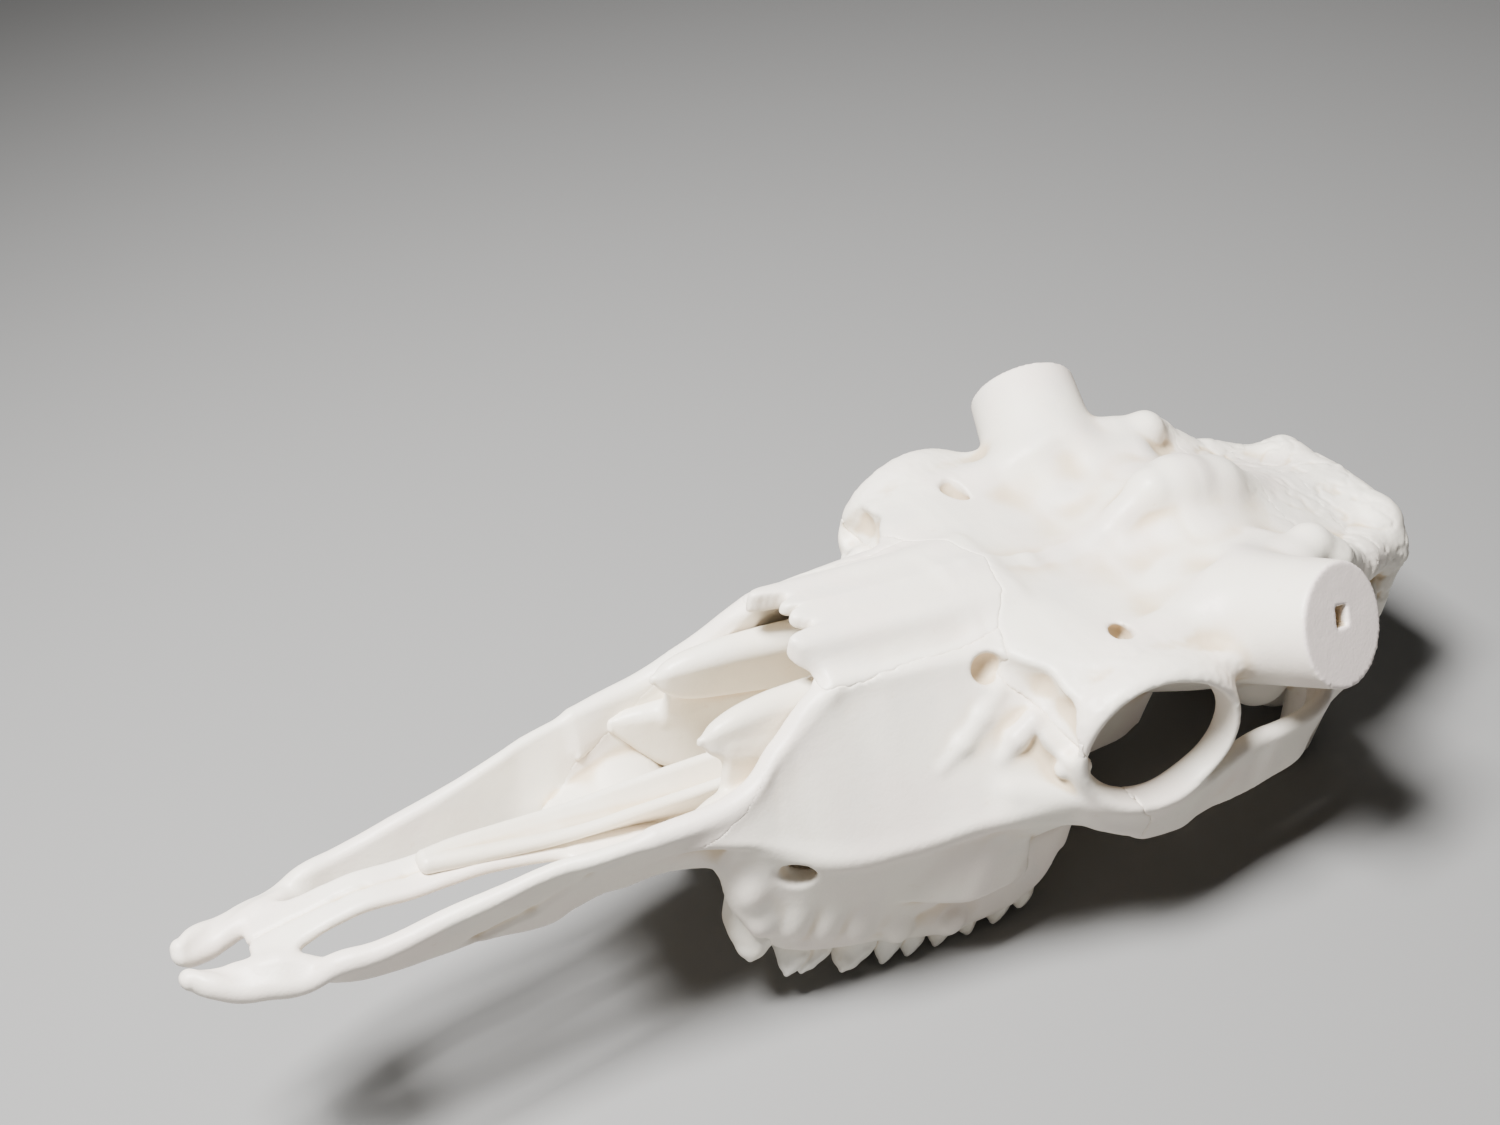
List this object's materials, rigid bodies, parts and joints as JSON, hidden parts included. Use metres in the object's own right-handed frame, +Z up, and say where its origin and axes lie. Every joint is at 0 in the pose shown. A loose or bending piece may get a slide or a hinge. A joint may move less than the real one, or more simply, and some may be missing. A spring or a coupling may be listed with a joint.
{
  "type": "moose skull cast",
  "caption": "Life-size cast of a moose skull without its lower jaw, lying on its cheek teeth and the processes at its rear, with flat antler seats on both sides",
  "frame": {"origin": "centre of the bounding box, on the floor the skull rests on", "axes": "+Z up, -X towards the tips of the snout, -Y to the left side of the animal"},
  "size_m": [0.6291, 0.2698, 0.189],
  "materials": {
    "cast_cream": "satin cream-white casting resin",
    "cast_inner": "satin cream casting resin, warmer in the hollows",
    "cast_cut": "satin pinkish-white casting resin"
  },
  "bodies": {
    "root": {"premaxilla_left": "cast_cream", "premaxilla_right": "cast_cream", "maxilla_left": "cast_cream", "maxilla_right": "cast_cream", "nasal_left": "cast_cream", "nasal_right": "cast_cream", "vomer": "cast_inner", "turbinate_left": "cast_inner", "turbinate_right": "cast_inner", "frontal": "cast_cream", "pedicle_left": "cast_cut", "pedicle_right": "cast_cut", "zygomatic_left": "cast_cream", "zygomatic_right": "cast_cream", "cranium": "cast_inner", "occipital": "cast_cream"}
  },
  "joints": []
}
